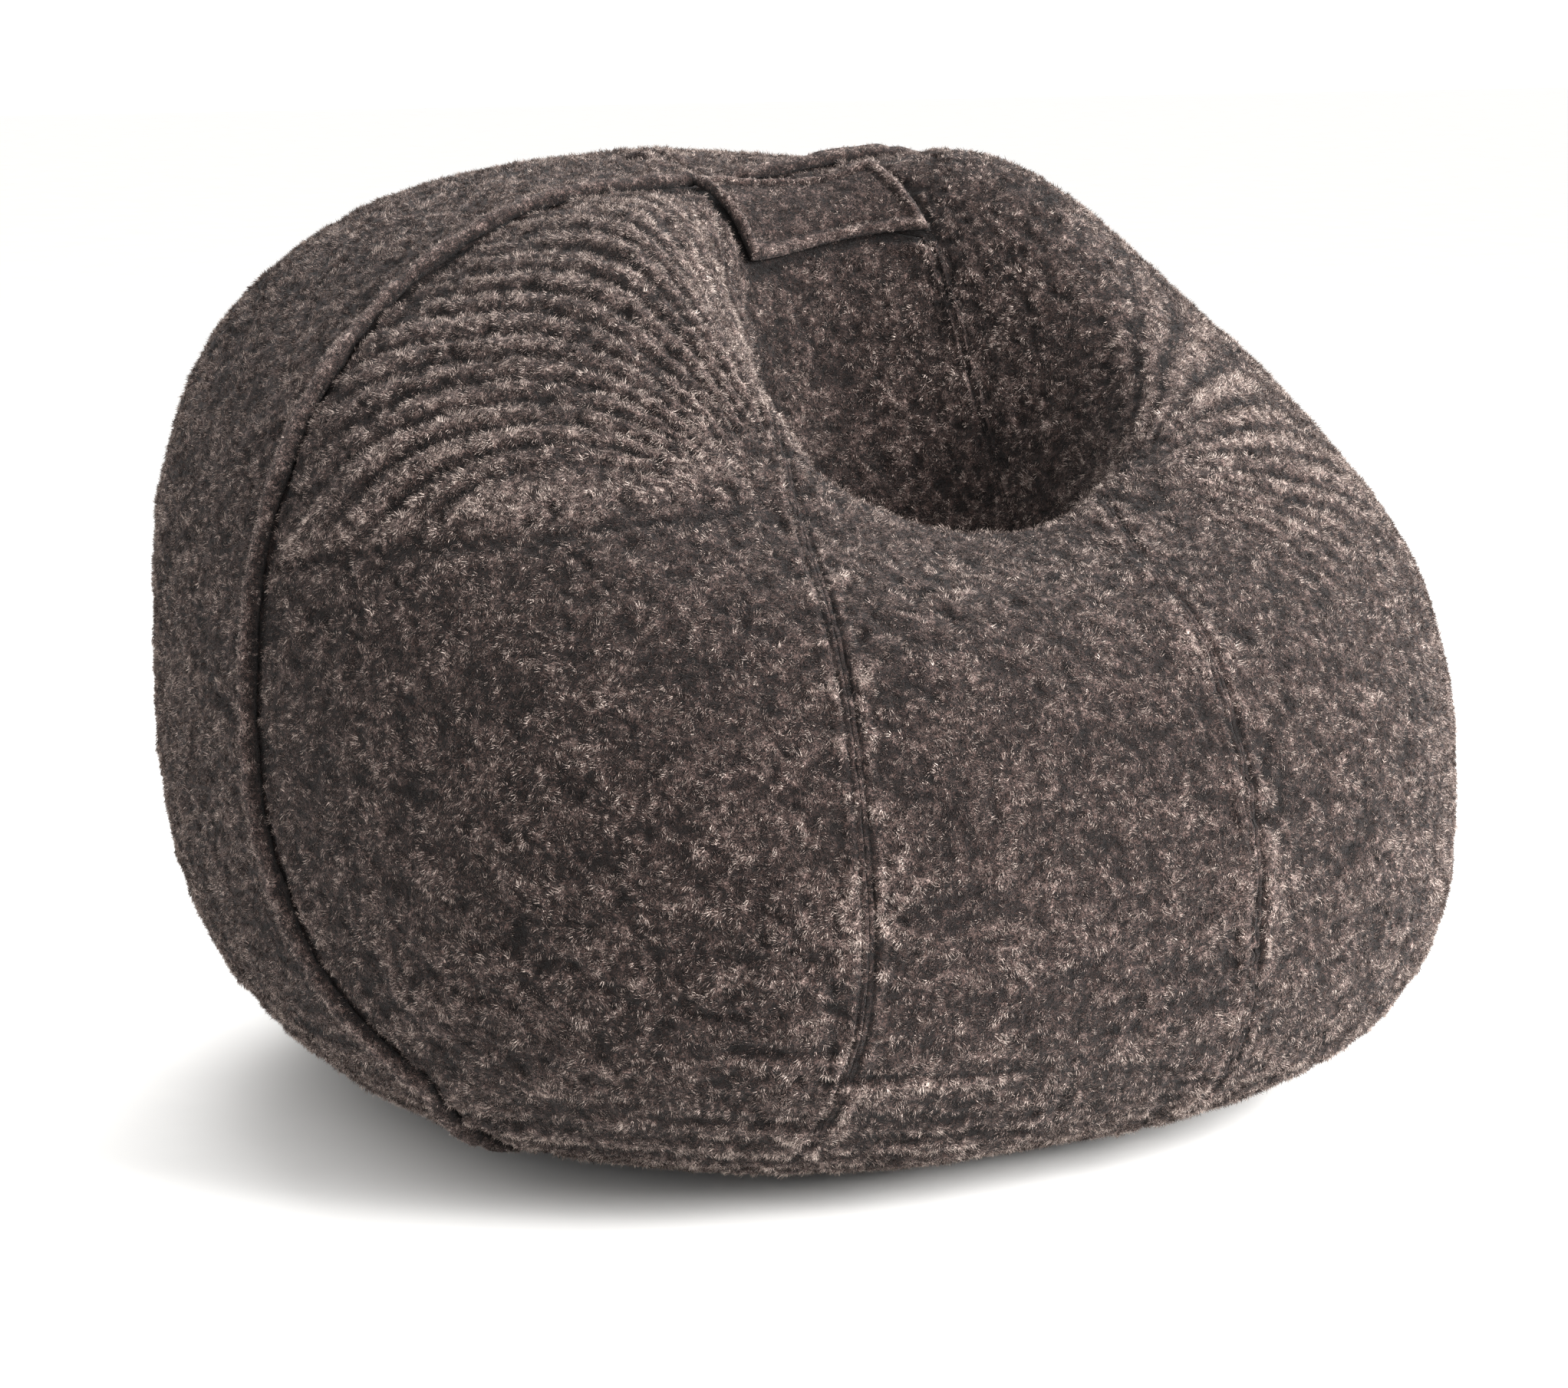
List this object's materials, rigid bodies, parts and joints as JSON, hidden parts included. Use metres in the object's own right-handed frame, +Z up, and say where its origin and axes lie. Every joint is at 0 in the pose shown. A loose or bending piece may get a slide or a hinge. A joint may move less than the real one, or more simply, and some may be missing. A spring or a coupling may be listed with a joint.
{
  "type": "bean bag chair",
  "caption": "Large foam-filled bean bag chair: a squat rounded bag with a deep seat pressed into its front, a removable gored plush cover and an inner liner.",
  "frame": {"origin": "on the floor, under the middle of the chair's bounding box", "axes": "+Z up, the sitter faces -Y, and +X is towards the sitter's left hand, along the chair's width"},
  "size_m": [1.508, 1.4462, 1.0719],
  "materials": {
    "plush": "short deep-pile plush, brushed in all directions",
    "base_cloth": "coarse plain-woven cloth",
    "liner_cloth": "thin non-woven cloth",
    "foam": "shredded soft polyurethane foam",
    "zip_tape": "woven polyester tape",
    "zip_coil": "satin nylon",
    "zip_metal": "dark lacquered zinc",
    "label": "smooth white satin ribbon"
  },
  "bodies": {
    "bag": {"cover_gore_front_left": "plush", "cover_gore_front": "plush", "cover_gore_front_right": "plush", "cover_gore_back_right": "plush", "cover_gore_back_left": "plush", "ridge_seam_left": "plush", "ridge_seam_right": "plush", "crown_patch": "plush", "cover_base_front": "base_cloth", "cover_base_back": "base_cloth", "care_label": "label", "cover_zip_tape_front": "zip_tape", "cover_zip_tape_back": "zip_tape", "cover_zip_teeth_front": "zip_coil", "cover_zip_teeth_back": "zip_coil", "cover_zip_top_stop_front": "zip_metal", "cover_zip_top_stop_back": "zip_metal", "cover_zip_bottom_stop": "zip_metal", "liner_panel_front_left": "liner_cloth", "liner_panel_front": "liner_cloth", "liner_panel_front_right": "liner_cloth", "liner_panel_back_right": "liner_cloth", "liner_panel_back_left": "liner_cloth", "liner_base_front": "liner_cloth", "liner_base_back": "liner_cloth", "liner_zip_tape_front": "zip_tape", "liner_zip_tape_back": "zip_tape", "liner_zip_teeth_front": "zip_coil", "liner_zip_teeth_back": "zip_coil", "liner_zip_top_stop_front": "zip_metal", "liner_zip_top_stop_back": "zip_metal", "liner_zip_bottom_stop": "zip_metal", "foam_fill": "foam"},
    "cover_slider": {"cover_zip_slider": "zip_metal"},
    "pull_tab": {"cover_zip_pull": "zip_metal"},
    "liner_slider": {"liner_zip_slider": "zip_metal"}
  },
  "joints": [
    {"name": "cover_zip_slide", "type": "slide", "parent": "bag", "child": "cover_slider", "axis": [-1, 0, 0], "range_m": [0, 0.61]},
    {"name": "zip_pull_swing", "type": "hinge", "parent": "cover_slider", "child": "pull_tab", "pos_m": [0.3044, -0.0031, 0.00205], "axis": [0, -1, 0], "range_deg": [0, 180]},
    {"name": "liner_zip_slide", "type": "slide", "parent": "bag", "child": "liner_slider", "axis": [-1, 0, 0], "range_m": [0, 0.43]}
  ]
}
